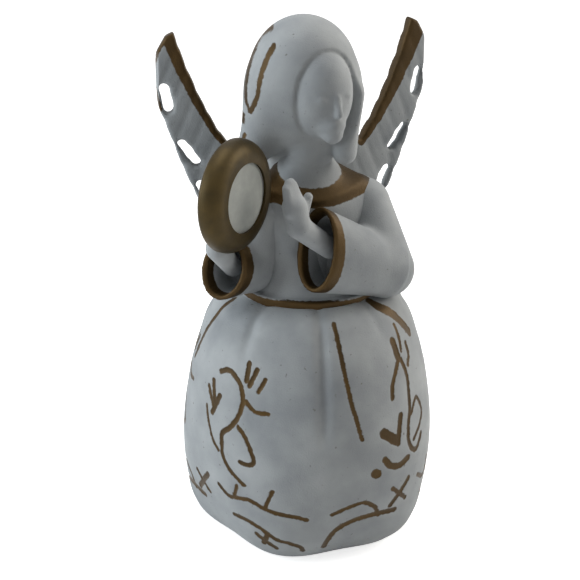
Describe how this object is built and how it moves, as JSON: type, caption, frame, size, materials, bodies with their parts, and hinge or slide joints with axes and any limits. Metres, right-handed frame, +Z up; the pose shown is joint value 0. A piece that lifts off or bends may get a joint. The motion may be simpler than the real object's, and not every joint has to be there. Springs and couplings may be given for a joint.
{
  "type": "resin angel figurine",
  "caption": "Standing painted resin angel with a bell skirt and pierced wings, holding a tambourine.",
  "frame": {"origin": "centre of the underside of the felt pad, where the figurine stands", "axes": "+Z up, -Y the way the figure faces, +X towards the figure's own left hand"},
  "size_m": [0.0728, 0.0654, 0.135],
  "materials": {
    "painted_resin": "matte chalky paint",
    "steel_pin": "brushed",
    "felt": "felt",
    "gilt_paint": "antique gold paint on cast resin",
    "drum_skin": "matte"
  },
  "bodies": {
    "root": {"arm_pin_left": "steel_pin", "arm_pin_right": "steel_pin", "base_plug": "painted_resin", "felt_pad": "felt", "hand_left": "painted_resin", "hand_right": "painted_resin", "head": "painted_resin", "neck_dowel": "steel_pin", "skirt": "painted_resin", "sleeve_left": "painted_resin", "sleeve_right": "painted_resin", "tambourine_frame": "gilt_paint", "tambourine_skin": "drum_skin", "torso": "painted_resin", "waist_dowel": "steel_pin", "wing_left": "painted_resin", "wing_pin_left": "steel_pin", "wing_pin_right": "steel_pin", "wing_right": "painted_resin", "wrist_pin_left": "steel_pin", "wrist_pin_right": "steel_pin"}
  },
  "joints": []
}
